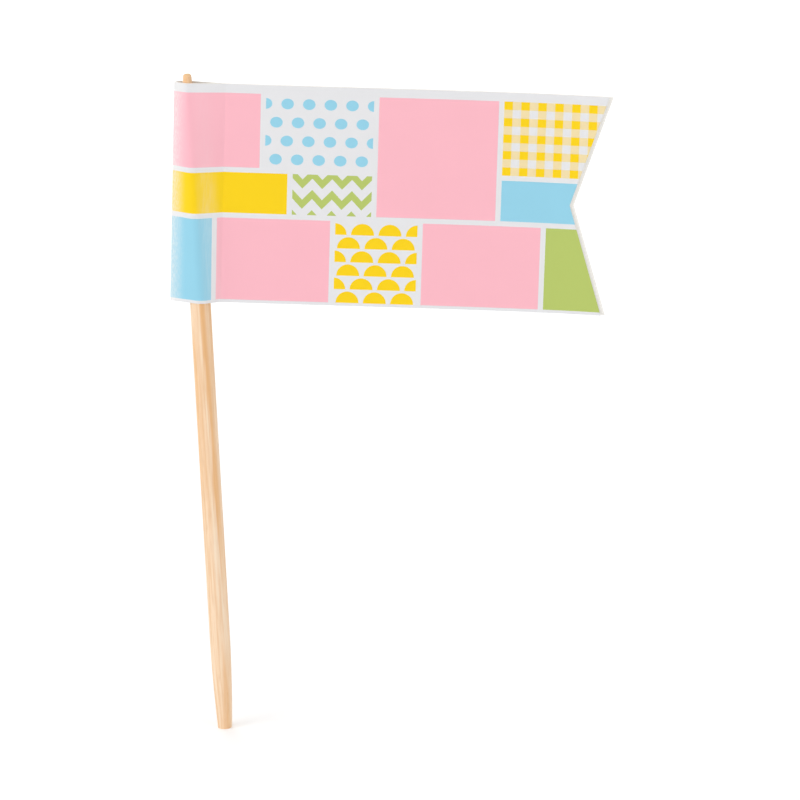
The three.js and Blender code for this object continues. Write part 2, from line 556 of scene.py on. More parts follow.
@dataclass
class Stick:
    """The turned stick: two blunt points and a straight part with the marks of the mill."""

    form: StickForm
    name: str = "birch_stick"
    finish: BirchWood = field(default_factory=BirchWood)
    sides: int = 96
    rounding_steps: int = 7
    point_steps: int = 26
    straight_steps: int = 72
    crease: float = 50.0
    seed: int = 5
    marks: int = 22
    mark_width: Span = (0.05, 0.13)
    mark_reach: Span = (3.0, 12.0)
    mark_cut: Span = (0.0066, 0.022)
    out_of_round: float = 0.012
    twist: float = 0.05
    deepest_share: float = 0.2
    end_height: float = 0.01
    end_roughness: float = 0.02
    end_features: float = 4.0

    def profile(self) -> list[Point]:
        """Give the outline from the lower end's rim to the upper one's.

        Returns:
            Radius and height of each ring.
        """
        form, rounding = self.form, self.form.point_end_rounding
        flat = form.point_end_diameter / 2 - rounding
        curve = form.radius(rounding) - flat
        lower = [(flat / 2, 0.0)]
        for step in range(self.rounding_steps + 1):
            turn = math.pi / 2 * step / self.rounding_steps
            lower.append((flat + curve * math.sin(turn), rounding * (1 - math.cos(turn))))
        point_end, top = form.point_length, form.length - form.point_length
        lower += [(form.radius(z), z) for z in steps_between(rounding, point_end, self.point_steps)]
        straight = steps_between(point_end, top, self.straight_steps)[:-1]
        middle = [(form.diameter / 2, z) for z in straight]
        upper = [(radius, form.length - z) for radius, z in reversed(lower)]
        return lower + middle + upper

    def mill_marks(self) -> list[MillMark]:
        """Draw the marks of the mill at random places.

        Returns:
            The marks.
        """
        draw = random.Random(self.seed)
        round_and_up = ((0, 2 * math.pi), (0, self.form.length))
        spans = (*round_and_up, self.mark_width, self.mark_reach, self.mark_cut)
        return [MillMark(*(draw.uniform(*span) for span in spans)) for _ in range(self.marks)]

    def worn_point(self, marks: Sequence[MillMark], ring: Point, angle: float) -> Vector:
        """Give a point of the surface with its marks and its rough cut ends.

        Args:
            marks: The marks of the mill.
            ring: The true radius and the height.
            angle: The angle round the stick.

        Returns:
            The point.
        """
        radius, z = ring
        flat = self.out_of_round * (1 - math.cos(2 * angle + self.twist * z)) / 2
        inward = flat + max(mark.depth(angle, z) for mark in marks)
        share = 1 - min(inward, radius * self.deepest_share) / radius
        x, y = radius * math.cos(angle), radius * math.sin(angle)
        spot = Vector((self.end_features * x, self.end_features * y, z))
        rough = abs(self.end_roughness * noise.noise(spot))
        if z > self.form.length - self.end_height:
            z -= rough
        elif z < self.end_height:
            z += rough
        return Vector((x * share, y * share, z))

    def build(self) -> bpy.types.Object:
        """Make the stick and dress it.

        Returns:
            The piece.
        """
        rings, marks = self.profile(), self.mill_marks()
        turns = [2 * math.pi * side / self.sides for side in range(self.sides)]
        draft = Draft([self.worn_point(marks, ring, turn) for ring in rings for turn in turns])
        chart = StickChart(rings, self.sides, self.rounding_steps)
        self.add_sides(draft, chart)
        for ring in (0, len(rings) - 1):
            self.add_end(draft, chart, ring)
        piece = draft.piece(self.name, [self.finish], self.crease)
        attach(piece, ROOT)
        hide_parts("stick")
        return piece

    def add_sides(self, draft: Draft, chart: StickChart) -> None:
        """Add the faces between rings.

        Args:
            draft: The mesh that is drawn up.
            chart: The bake map.
        """
        for low in range(len(chart.rings) - 1):
            for side in range(self.sides):
                corners = [(low, side), (low, side + 1), (low + 1, side + 1), (low + 1, side)]
                numbers = [ring * self.sides + turn % self.sides for ring, turn in corners]
                places = [chart.baked(low, ring, turn) for ring, turn in corners]
                draft.add_face(numbers, **{BAKE_MAP: places})

    def add_end(self, draft: Draft, chart: StickChart, ring: int) -> None:
        """Close one end.

        Args:
            draft: The mesh that is drawn up.
            chart: The bake map.
            ring: The number of the ring at the end.
        """
        upper = ring > 0
        middle = len(draft.points)
        draft.points.append(Vector((0.0, 0.0, self.form.length if upper else 0.0)))
        for side in range(self.sides):
            turns = (side, side + 1) if upper else (side + 1, side)
            numbers = [middle, *(ring * self.sides + turn % self.sides for turn in turns)]
            around = (chart.on_disc(upper, 1, turn) for turn in turns)
            draft.add_face(numbers, **{BAKE_MAP: [chart.on_disc(upper, 0, 0), *around]})


# The folded flag.


@dataclass(frozen=True)
class Round:
    """A round in the flag's section that paper bends over, or under if its radius is negative."""

    u: float
    v: float
    radius: float
    steps: int


def belt(rounds: Sequence[Round], start: float, end: float) -> list[Point]:
    """Lay a belt over rounds, straight between them.

    Args:
        rounds: The rounds in order.
        start: The direction of the belt's outward normal at its start.
        end: The direction at its end.

    Returns:
        The belt's points.
    """
    turns = [start]
    for a, b in zip(rounds, rounds[1:]):
        apart = math.hypot(b.u - a.u, b.v - a.v)
        turns.append(math.atan2(b.v - a.v, b.u - a.u) + math.acos((a.radius - b.radius) / apart))
    turns.append(end)
    points = []
    for bend, first, last in zip(rounds, turns, turns[1:]):
        for angle in (first, *steps_between(first, last, bend.steps)):
            across, through = bend.radius * math.cos(angle), bend.radius * math.sin(angle)
            points.append((bend.u + across, bend.v + through))
    return points


def round_the_fold(back: Sequence[Point], front: Sequence[Point]) -> list[Point]:
    """Join two leaves' lines, both drawn from the fold on the back leaf's side, at the fold."""
    return [*reversed(back), *((u, -v) for u, v in front[1:])]


@dataclass(frozen=True)
class FlagForm:
    """Shape of the folded flag and of the sleeve in it that holds the stick.

    The flag's own frame has u from the fold to the tail, v through the paper towards the back leaf,
    and w up along the fold from the flag's lower edge. The leaves' wave turns by so many radians a
    millimetre along the flag, and by so many more over its whole height.
    """

    stick: StickForm
    paper: float = 0.15
    length: float = 41.5
    height: float = 21.5
    notch: float = 3.4
    overhang: float = 0.4
    fold_radius: float = 0.15
    seam_radius: float = 0.7
    fold_to_stick_at_top: float = 0.63
    fold_to_stick_at_bottom: float = 1.7
    stick_to_seam: float = 0.9
    adhesive: float = 0.02
    adhesive_margin: float = 0.3
    adhesive_fill: float = 0.35
    stick_above: float = 0.8
    stick_clearance: float = 0.02
    bond_clearance: float = 0.01
    hollow: float = 0.55
    wave: float = 0.05
    wave_foot: float = 9.0
    wave_turns: tuple[float, float] = (0.19, 1.3)
    wave_evenness: float = 0.6
    swell_start: float = 0.4
    swell_turn: float = 2.6
    curl: float = 0.13
    curl_length: float = 13.0
    curl_beyond: float = 1.0
    bands: int = 48
    leaf_steps: int = 34
    fold_steps: int = 12
    wrap_steps: int = 24
    seam_steps: int = 10

    @property
    def half_gap(self) -> float:
        """Half the space between the leaves."""
        return self.adhesive + self.bond_clearance

    @property
    def fit(self) -> float:
        """How far the paper's inner face stays off the stick."""
        return self.stick_clearance + self.half_gap

    @property
    def axis_at_bottom(self) -> float:
        """How far the stick's axis lies from the fold at the lower edge."""
        return self.paper + self.half_gap + self.fold_to_stick_at_bottom + self.stick.diameter / 2

    @property
    def axis_at_top(self) -> float:
        """How far it lies from the fold at the upper edge."""
        radius = self.stick.radius(self.stick.length - self.stick_above)
        return self.paper + self.half_gap + self.fold_to_stick_at_top + radius

    @property
    def skew(self) -> float:
        """The angle between fold and stick."""
        return math.atan2(self.axis_at_bottom - self.axis_at_top, self.height)

    @property
    def bottom(self) -> float:
        """Height of the flag's lower edge on the stick."""
        return self.stick.length - self.stick_above - self.height / math.cos(self.skew)

    @property
    def seam(self) -> float:
        """Where the leaves meet past the stick."""
        stick_side = self.axis_at_bottom + self.stick.diameter / 2
        return stick_side + self.fit + self.paper + self.stick_to_seam

    def place(self, u: float, v: float, w: float) -> Vector:
        """Bring a point of the flag's frame into the model's.

        Args:
            u: From the fold to the tail.
            v: Through the paper towards the back leaf.
            w: Up along the fold.

        Returns:
            The point, in millimetres.
        """
        cos, sin = math.cos(self.skew), math.sin(self.skew)
        across, through = u - self.axis_at_bottom, v + self.bow(u, w)
        return Vector((across * cos + w * sin, through, self.bottom - across * sin + w * cos))

    def bow(self, u: float, w: float) -> float:
        """Give how far both leaves stand out of their plane, towards the back leaf.

        Args:
            u: From the fold to the tail.
            w: Up along the fold.

        Returns:
            The distance, 0 in the sleeve.
        """
        rise = w / self.height
        out = max(0.0, (u - self.seam) / (self.length - self.seam))
        # The hollow is deepest two thirds of the way out, where this is 1.
        hollow = 27 / 4 * out**2 * (1.0 - out)
        free = ease(u, self.seam, self.seam + self.wave_foot)
        along, upward = self.wave_turns
        swell = (1 - self.wave_evenness) * math.cos(self.swell_turn * rise + self.swell_start)
        sway = math.sin(u * along + upward * rise) * (self.wave_evenness + swell)
        end = ease(u, self.length - self.curl_length, self.length + self.curl_beyond)
        lifted = end * (2.0 * rise - 1.0) ** 2
        return self.hollow * hollow + free * self.wave * sway + self.curl * lifted

    def stick_round(self, w: float, outward: float) -> Round:
        """Give the round that the stick makes in the flag's section.

        Args:
            w: The height on the flag.
            outward: How far outside the paper's inner face the round lies.

        Returns:
            The round.
        """
        radius = self.stick.radius(self.bottom + w / math.cos(self.skew)) / math.cos(self.skew)
        axis = self.axis_at_bottom - w * math.tan(self.skew)
        return Round(axis, 0.0, radius + self.fit + outward, self.wrap_steps)

    def fold_round(self, outward: float) -> Round:
        """Give the round inside the fold, so far outside the paper's inner face."""
        radius = self.fold_radius + outward
        return Round(self.paper + self.fold_radius, 0.0, radius, self.fold_steps)

    def sleeve(self, w: float, outward: float) -> list[Point]:
        """Lay the paper from the fold to the seam, on the back leaf's side.

        Args:
            w: The height on the flag.
            outward: How far outside the paper's inner face.

        Returns:
            The points in (u, v).
        """
        bend = outward - self.seam_radius
        seam = Round(self.seam, self.half_gap + self.seam_radius, bend, self.seam_steps)
        rounds = [self.fold_round(outward), self.stick_round(w, outward), seam]
        return belt(rounds, math.pi, math.pi / 2)

    def pocket(self, w: float) -> list[Point]:
        """Lay the adhesive's inner face from the fold to its corner near the seam.

        Args:
            w: The height on the flag.

        Returns:
            The points in (u, v), as many as the sleeve has.
        """
        corner = Round(self.seam - self.adhesive_fill, 0.0, self.adhesive, self.seam_steps)
        rounds = [self.fold_round(-self.half_gap), self.stick_round(w, -self.half_gap), corner]
        return belt(rounds, math.pi, 0.0)

    def tail(self, w: float) -> float:
        """Give where the front leaf's tail is cut, deepest at half the height."""
        return self.length - self.notch * (1 - abs(2 * w / self.height - 1))

    def to_tail(self, sleeve: Sequence[Point], end: float) -> list[Point]:
        """Go on from the sleeve's points straight to the tail's place."""
        start, v = sleeve[-1]
        return [*sleeve, *((u, v) for u in steps_between(start, end, self.leaf_steps))]

    def heights(self, margin: float) -> list[float]:
        """Give the heights of the sections. Paper and adhesive share those in between.

        Args:
            margin: How far the first and last lie from the flag's edges.

        Returns:
            The heights, rising.
        """
        shared = [self.height * band / self.bands for band in range(self.bands + 1)]
        inside = [w for w in shared if margin < w < self.height - margin]
        return [margin, *inside, self.height - margin]


class Side(Enum):
    """The parts of a folded shell's surface."""

    OUTER = "outer face"
    INNER = "inner face"
    FRONT_TAIL = "tail of the front leaf"
    BACK_TAIL = "tail of the back leaf"
    LOWER = "lower edge"
    UPPER = "upper edge"


# A shell's corner: 0 for the outer line or 1 for the inner one, the level, the place in the line.
Corner = tuple[int, int, int]


@dataclass(frozen=True)
class FoldedShell:
    """A thin shell between two lines that run side by side, carried up through rising heights."""

    form: FlagForm
    heights: Sequence[float]
    lines: tuple[Sequence[Sequence[Point]], Sequence[Sequence[Point]]]
    pocket: range

    @property
    def count(self) -> int:
        """How many points a line has."""
        return len(self.lines[0][0])

    def points(self) -> list[Vector]:
        """Give the points in the model's frame, the outer lines' first."""
        rows = [(w, row) for lines in self.lines for w, row in zip(self.heights, lines)]
        return [self.form.place(u, v, w) for w, row in rows for u, v in row]

    def number(self, corner: Corner) -> int:
        """Give the number of a corner's point."""
        line, level, place = corner
        return (line * len(self.heights) + level) * self.count + place

    def faces(self) -> Iterator[tuple[Side, list[Corner]]]:
        """Go through the faces.

        Yields:
            The part of the surface and the corners, anticlockwise from outside.
        """
        last, top = self.count - 1, len(self.heights) - 1
        for low in range(top):
            up = low + 1
            for i in range(last):
                yield Side.OUTER, [(0, low, i), (0, low, i + 1), (0, up, i + 1), (0, up, i)]
                if i in self.pocket:
                    yield Side.INNER, [(1, low, i + 1), (1, low, i), (1, up, i), (1, up, i + 1)]
            yield Side.FRONT_TAIL, [(0, low, last), (1, low, last), (1, up, last), (0, up, last)]
            yield Side.BACK_TAIL, [(1, low, 0), (0, low, 0), (0, up, 0), (1, up, 0)]
        for i in range(last):
            yield Side.LOWER, [(0, 0, i), (1, 0, i), (1, 0, i + 1), (0, 0, i + 1)]
            yield Side.UPPER, [(1, top, i), (0, top, i), (0, top, i + 1), (1, top, i + 1)]


# The print.


class Ink(Enum):
    """The flag's colours as they look on the coated paper, and that of the bare coating."""

    PINK = Tint(253, 187, 199)
    YELLOW = Tint(252, 212, 0)
    SKY = Tint(150, 211, 233)
    GREEN = Tint(184, 201, 106)
    BARE = Tint(231, 231, 233)


@dataclass(frozen=True)
class Cells:
    """The place in a block, counted in cells across and up, and the figures that can fill it.

    Each figure is 1 where its ink is printed and 0 where it isn't.
    """

    across: Signal
    rise: Signal

    def moved(self, rows: float) -> tuple[Signal, Signal]:
        """Move every other row of figures half a step, with so many rows of them in a cell.

        Args:
            rows: How many rows of figures a cell holds.

        Returns:
            How far across from the figure's middle the place is, and how far up from its foot.
        """
        level = self.rise * rows
        odd = level.math("FLOOR").math("PINGPONG", 1.0)
        return (odd * 0.5 + self.across).fraction() - 0.5, level.fraction()

    def dots(self, radius: float = 0.29) -> Signal:
        """Draw rows of dots."""
        x, y = self.moved(1.0)
        return (x * x + (y - 0.5) * (y - 0.5)).less(radius**2)

    def scallops(self, radius: float = 0.42) -> Signal:
        """Draw rows of half discs."""
        x, y = self.moved(2.0)
        return (x * x + y * y * 0.25).less(radius**2)

    def diamonds(self, reach: float = 0.37) -> Signal:
        """Draw rows of diamonds."""
        x, y = self.moved(1.0)
        return (abs(x) + abs(y - 0.5)).less(reach)

    def checks(self) -> Signal:
        """Draw gingham checks, with half the ink where only one stripe runs."""
        return (self.across.fraction().less(0.5) + self.rise.fraction().less(0.5)) * 0.5

    def chevrons(self, start: float = 0.2, ink: float = 0.45) -> Signal:
        """Draw zigzag stripes."""
        return (self.rise + start + self.across.math("PINGPONG", 0.5)).fraction().less(ink)


class Motif(Enum):
    """What fills a block of the patchwork."""

    PLAIN = "plain"
    DOTS = "dots"
    CHECKS = "gingham checks"
    CHEVRONS = "zigzag stripes"
    SCALLOPS = "half discs"
    DIAMONDS = "diamonds"


FIGURES: dict[Motif, Callable[[Cells], Signal]] = {
    Motif.DOTS: Cells.dots,
    Motif.CHECKS: Cells.checks,
    Motif.CHEVRONS: Cells.chevrons,
    Motif.SCALLOPS: Cells.scallops,
    Motif.DIAMONDS: Cells.diamonds,
}


@dataclass(frozen=True)
class Block:
    """One block of the patchwork. Its size is the one along its row, and 0 takes what is left."""

    size: float
    ink: Ink
    motif: Motif = Motif.PLAIN
    cell: float = 1.0

    def counted(self, place: Signal, start: float, end: float) -> Signal:
        """Count the motif's cells from one side of the block. Checks end on a stripe as they begin.

        Args:
            place: The place on the print.
            start: The side to count from.
            end: The other side.

        Returns:
            How many cells lie before the place.
        """
        whole = max(1, round((end - start) / self.cell))
        scale = (whole + 0.5 if self.motif is Motif.CHECKS else whole) / (end - start)
        return place.math("MULTIPLY_ADD", scale, -start * scale)


@dataclass(frozen=True)
class Row:
    """A row of blocks and of further rows, which run across it."""

    size: float
    parts: tuple["Block | Row", ...]


@dataclass(frozen=True)
class Area:
    """A rectangle of the print, in millimetres along from the fold and up from the lower edge."""

    left: float
    right: float
    low: float
    high: float

    def split(self, sizes: Sequence[float], gap: float, along: bool) -> list["Area"]:
        """Cut the area up.

        Args:
            sizes: The size of each share, of which one may be 0 to take what is left.
            gap: The bare strip between shares.
            along: True to cut it into shares along the flag, False into shares upwards.

        Returns:
            The shares in order.
        """
        start, end = (self.left, self.right) if along else (self.low, self.high)
        spare = end - start - gap * (len(sizes) - 1) - sum(sizes)
        shares = []
        for size in sizes:
            stop = start + (size or spare)
            if along:
                shares.append(Area(start, stop, self.low, self.high))
            else:
                shares.append(Area(self.left, self.right, start, stop))
            start = stop + gap
        return shares

    def holds(self, along: Signal, up: Signal) -> Signal:
        """Give 1 where a place lies in the area and 0 where it doesn't."""
        inside = along.math("COMPARE", (self.left + self.right) / 2, (self.right - self.left) / 2)
        return inside * up.math("COMPARE", (self.low + self.high) / 2, (self.high - self.low) / 2)


@dataclass(frozen=True)
class Patchwork:
    """The flag's print: blocks of plain colour and small patterns, with bare strips between them.

    The paper lies flat, with its back leaf on the left of the fold and its front leaf on the right.
    """

    reach: float = 42.6
    gap: float = 0.5
    lower_margin: float = 0.3
    upper_margin: float = 0.85
    wobble: float = 0.02

    def rows(self) -> Row:
        """Give the layout, from the back leaf's tail to the front leaf's, in rows from below.

        Returns:
            The whole print.
        """
        pink, yellow, sky, green = Ink.PINK, Ink.YELLOW, Ink.SKY, Ink.GREEN
        low = (
            Block(9.5, sky, Motif.DOTS, 1.9),
            Block(10.4, pink),
            Block(7.9, yellow, Motif.CHECKS, 1.8),
            Block(9.3, pink),
            Block(7.9, sky),
            Block(10.9, pink),
            Block(7.9, yellow, Motif.SCALLOPS, 2.7),
            Block(11.3, pink),
            Block(0, green),
        )
        far_back = Row(11.6, (Block(4.0, yellow), Block(0, green, Motif.DIAMONDS, 1.85)))
        zigzags = Block(0, green, Motif.CHEVRONS, 2.0)
        fold_middle = Row(4.0, (Block(10.7, pink), Block(18.6, yellow), zigzags))
        gingham = Block(11.5, sky, Motif.CHECKS, 1.8)
        fold_top = Row(0, (gingham, Block(15.1, pink), Block(0, sky, Motif.DOTS, 1.9)))
        fold = Row(37.9, (fold_middle, fold_top))
        tail = Row(0, (Block(4.0, sky), Block(0, yellow, Motif.CHECKS, 1.8)))
        high = Row(0, (far_back, Block(11.8, pink), fold, Block(11.4, pink), tail))
        return Row(0, (Row(8.1, low), high))

    def blocks(
        self, part: "Block | Row", area: Area, along: bool = False
    ) -> Iterator[tuple[Block, Area]]:
        """Lay out a row.

        Args:
            part: The row or block.
            area: The place that it fills.
            along: Whether the row's parts follow each other along the flag.

        Yields:
            Each block with its place.
        """
        if isinstance(part, Block):
            yield part, area
            return
        shares = area.split([inner.size for inner in part.parts], self.gap, along)
        for inner, share in zip(part.parts, shares):
            yield from self.blocks(inner, share, not along)

    def coverage(self, along: Signal, up: Signal, height: float) -> dict[Ink, Signal]:
        """Work out how much of each ink there is.

        Args:
            along: The place along the paper from the fold.
            up: The place up from the lower edge.
            height: The flag's height.

        Returns:
            The share of each ink, 0 to 1.
        """
        shares: dict[Ink, Signal] = {}
        area = Area(-self.reach, self.reach, self.lower_margin, height - self.upper_margin)
        for block, spot in self.blocks(self.rows(), area):
            inked = spot.holds(along, up)
            if block.motif in FIGURES:
                across = block.counted(along, spot.left, spot.right)
                rise = block.counted(up, spot.low, spot.high)
                inked = inked * FIGURES[block.motif](Cells(across, rise))
            shares[block.ink] = inked + shares[block.ink] if block.ink in shares else inked
        return shares


@dataclass(frozen=True, kw_only=True)
class PrintedPaper(Finish):
    """The paper's coated outer face: its print, crazed at the fold, with a painted highlight fading
    out from the fold and another on the slope beside the stick.
    """

    form: FlagForm
    name: str = "printed_paper"
    patchwork: Patchwork = Patchwork()
    # The pale colour of the fold and slope marks: bare paper where the ink is crazed at the fold,
    # and a painted highlight fading out from the fold and on the slope beside the stick.
    core: Tint = Tint(247, 245, 242)
    ragged: Pattern = Pattern(9.0, 9.0, detail=2.0)
    fine: Pattern = Pattern(4.5, 4.5)
    wide: Pattern = Pattern(0.22, 0.3, detail=2.0)
    fibres: Pattern = Pattern(2.6, 3.4, detail=4.0)
    # The speckle of the fold's mark, crazed ink and painted highlight alike.
    crack_and_highlight_noise: Pattern = Pattern(9.0, 2.2, climb=(0.42, 0.62))
    # Streaks along the painted highlight on the slope from stick to seam.
    highlight_streaks: Pattern = Pattern(5.0, 0.5, climb=(0.35, 0.7))
    fine_mottle: Span = (0.985, 1.0)
    wide_mottle: Span = (-0.012, 0.012)
    roughness: Span = (0.4, 0.46)
    ink_gloss: float = 0.06
    # Roughness and relief follow the fold and slope marks, crazed ink and painted highlight alike.
    wear_and_highlight_roughness: float = 0.3
    specular: float = 0.2
    coat: float = 0.12
    coat_roughness: float = 0.2
    ink_height: float = 0.25
    wear_and_highlight_depth: float = 0.8
    relief: tuple[float, float] = (0.008, 0.6)
    # The fold's mark, crazed ink with a painted highlight fading out from the fold: its width and
    # how much shows.
    crease: Span = (0.1, 1.8)
    crack_and_highlight_shares: Span = (0.35, 0.6)
    # The painted highlight on the slope from stick to seam: where it lies, how strong it is, and how
    # it fades upwards.
    slope_off_axis: float = 1.8
    slope_sides: Span = (0.1, 1.4)
    slope_shares: Span = (0.1, 0.2)
    slope_fades: Span = (8.0, 17.0)
    slope_faded: Span = (1.0, 0.3)

    def wire(self, wiring: Wiring) -> None:
        """Wire the print.

        Args:
            wiring: Adds the nodes.
        """
        spot = wiring.signal("UVMap", {}, uv_map=PRINT_MAP)
        along, up, _ = wiring.apart(spot)
        wobble = self.patchwork.wobble
        ragged = wiring.noise(spot, self.ragged).span(-wobble, wobble)
        shares = self.patchwork.coverage(along + ragged, up + ragged, self.form.height)
        colour = Ink.BARE.value
        for ink, share in shares.items():
            colour = wiring.mix(share, colour, ink.value)
        inked = sum(shares.values())

        fine = wiring.noise(spot, self.fine)
        wide = wiring.noise(spot, self.wide)
        mottle = fine.span(*self.fine_mottle) + wide.span(*self.wide_mottle)
        colour = wiring.mix(1.0, colour, mottle, "MULTIPLY")
        # Mixed towards pale white where the ink is crazed at the fold, and where a highlight is
        # painted by the fold and on the slope beside the stick.
        wear_and_highlight = self.wear_and_highlight(wiring, spot)
        roughness = fine.span(*self.roughness) - inked * self.ink_gloss + wear_and_highlight * self.wear_and_highlight_roughness
        relief = wiring.noise(spot, self.fibres) + inked * self.ink_height - wear_and_highlight * self.wear_and_highlight_depth
        wiring.dress({
            "Base Color": wiring.mix(wear_and_highlight, colour, self.core),
            "Roughness": roughness,
            "Specular IOR Level": self.specular,
            "Coat Weight": self.coat,
            "Coat Roughness": self.coat_roughness,
            "Normal": wiring.bump(relief, *self.relief),
        })

    def wear_and_highlight(self, wiring: Wiring, spot: Signal) -> Signal:
        """Mark the fold's crazed ink and painted highlight, and the painted highlight on the slope.

        At the fold the crazed ink shows bare paper, and a painted highlight fades out from it. The
        painted highlight on the slope from stick to seam is strongest at the flag's lower edge,
        where the slope is steepest because the stick is thickest.

        Args:
            wiring: Adds the nodes.
            spot: The place on the print, along from the fold and up from the lower edge.

        Returns:
            How much of the pale colour shows, as bare paper and as painted highlight.
        """
        along, up, _ = wiring.apart(spot)
        away = abs(along)
        # At the fold: crazed ink showing bare paper, and a painted highlight fading out from the
        # fold.
        crack_and_highlight_noise = wiring.noise(spot, self.crack_and_highlight_noise).span(*self.crack_and_highlight_shares)
        fold_cracks_and_highlight = (1.0 - away.climb(*self.crease)) * crack_and_highlight_noise
        # On the slope from stick to seam: a painted highlight, streaked, strongest low down.
        middle = self.form.axis_at_bottom + self.slope_off_axis
        off = abs(up * math.tan(self.form.skew) + away - middle)
        highlight_streaks = wiring.noise(spot, self.highlight_streaks).span(*self.slope_shares)
        drawn = (1.0 - off.climb(*self.slope_sides)) * highlight_streaks
        return fold_cracks_and_highlight.most(drawn * up.climb(*self.slope_fades).span(*self.slope_faded))


@dataclass(frozen=True)
class BarePaper(Finish):
    """The paper's unprinted inner face and cut edges: white, matt, with short fibres."""

    name: str = "bare_paper"
    pulp: Tint = Tint(251, 249, 245)
    shaded: Tint = Tint(243, 240, 234)
    fibres: Pattern = Pattern(7.0, 22.0, 13.0, 4.0)
    tone_climb: Span = (0.35, 0.65)
    roughness: Span = (0.75, 0.95)
    specular: float = 0.3
    relief: tuple[float, float] = (0.02, 0.7)

    def wire(self, wiring: Wiring) -> None:
        """Wire the fibres.

        Args:
            wiring: Adds the nodes.
        """
        fibres = wiring.noise(wiring.millimetres(), self.fibres)
        wiring.dress({
            "Base Color": wiring.mix(fibres.climb(*self.tone_climb), self.shaded, self.pulp),
            "Roughness": fibres.span(*self.roughness),
            "Specular IOR Level": self.specular,
            "Normal": wiring.bump(fibres, *self.relief),
        })


@dataclass(frozen=True)
class DriedAdhesive(Finish):
    """The coat between the leaves: clear white glue, dried smooth with small bubbles."""

    name: str = "dried_adhesive"
    film: Tint = Tint(243, 239, 226)
    thick: Tint = Tint(232, 224, 200)
    coat: Pattern = Pattern(0.8, 0.8, 0.8)
    tone_climb: Span = (0.35, 0.7)
    bubbles: float = 4.0
    bubble_rims: Span = (0.12, 0.2)
    bubble_shares: Span = (0.25, 0.0)
    bubble_depth: float = 0.5
    roughness: Span = (0.22, 0.4)
    relief: tuple[float, float] = (0.02, 0.5)

    def wire(self, wiring: Wiring) -> None:
        """Wire the bubbles and the uneven coat.

        Args:
            wiring: Adds the nodes.
        """
        place = wiring.millimetres()
        uneven = wiring.noise(place, self.coat)
        cells = {"Vector": wiring.stretched(place, (self.bubbles,) * 3), "Scale": 1.0}
        middle = wiring.signal("TexVoronoi", cells, "Distance", feature="F1")
        outside = middle.climb(*self.bubble_rims)
        colour = wiring.mix(uneven.climb(*self.tone_climb), self.film, self.thick)
        wiring.dress({
            "Base Color": wiring.mix(outside.span(*self.bubble_shares), colour, self.thick),
            "Roughness": uneven.span(*self.roughness),
            "Normal": wiring.bump(outside * self.bubble_depth + uneven, *self.relief),
        })


@dataclass
class PaperChart:
    """Where the paper's points lie on its two maps: flat on the print, and on the bake map.

    The bake map has the two outer leaves one over the other, and beside them, squeezed into narrow
    strips, the plain inner face and the cut edges.
    """

    form: FlagForm
    heights: Sequence[float]
    outer: Sequence[Sequence[Point]]
    margin: float = 0.006
    scale: float = 0.0219
    front_foot: float = 0.5
    inner_strip: float = 0.952
    inner_width: float = 0.018
    lower_strip: float = 0.976
    upper_strip: float = 0.983
    tail_strip: float = 0.99
    edge_width: float = 0.004
    tail_length: float = 0.48

    def __post_init__(self) -> None:
        """Walk along the outer face at every height to find how far each point is from the fold."""
        self.fold = len(self.form.sleeve(0.0, 0.0)) - 1 + self.form.leaf_steps
        self.along = [self.walked(row) for row in self.outer]

    def walked(self, row: Sequence[Point]) -> list[float]:
        """Measure a line from the fold, over the paper in the sleeve and straight in the leaves.

        The paper over the stick is drawn out a little where that is needed, so that the print
        stands upright in the leaves.

        Args:
            row: The points from the back leaf's tail to the front leaf's.

        Returns:
            The distance of each point, less than 0 on the back leaf.
        """
        seam = self.fold + (self.fold - self.form.leaf_steps)
        middle = self.form.sleeve(self.form.height / 2, self.form.paper)
        wanted = sum(math.dist(a, b) for a, b in zip(middle, middle[1:]))
        reached = [0.0]
        for a, b in zip(row[self.fold : seam], row[self.fold + 1 : seam + 1]):
            reached.append(reached[-1] + math.dist(a, b))
        sleeve = [distance * wanted / reached[-1] for distance in reached]
        back, front = (
            [wanted + u - row[seam][0] for u, _ in leaf]
            for leaf in (row[: 2 * self.fold - seam], row[seam + 1 :])
        )
        return [*(-d for d in back), *(-d for d in reversed(sleeve[1:])), *sleeve, *front]

    def printed(self, corner: Corner) -> Point:
        """Give a corner's place on the print, in millimetres."""
        _, level, place = corner
        return (self.along[level][place], self.heights[level])

    def baked(self, side: Side, corner: Corner, face: Sequence[Corner]) -> Point:
        """Give a corner's place on the bake map.

        Args:
            side: The part of the surface.
            corner: The corner.
            face: All the corners of its face, which say on which leaf it is.

        Returns:
            The place, 0 to 1 each way.
        """
        along, up = self.printed(corner)
        back_end = self.along[0][0]
        if side is Side.OUTER:
            front = min(place for _, _, place in face) >= self.fold
            across = along if front else along - back_end
            foot = self.margin + (self.front_foot if front else 0.0)
            return (self.margin + across * self.scale, foot + up * self.scale)
        run = self.margin + (along - back_end) / (2 * -back_end) * (1 - 2 * self.margin)
        rise = up / self.form.height
        if side is Side.INNER:
            return (self.inner_strip + self.inner_width * rise, run)
        strips = {Side.LOWER: self.lower_strip, Side.UPPER: self.upper_strip}
        across = strips.get(side, self.tail_strip) + self.edge_width * corner[0]
        if side in strips:
            return (across, run)
        foot = self.margin + (self.front_foot if side is Side.FRONT_TAIL else 0.0)
        return (across, foot + self.tail_length * rise)


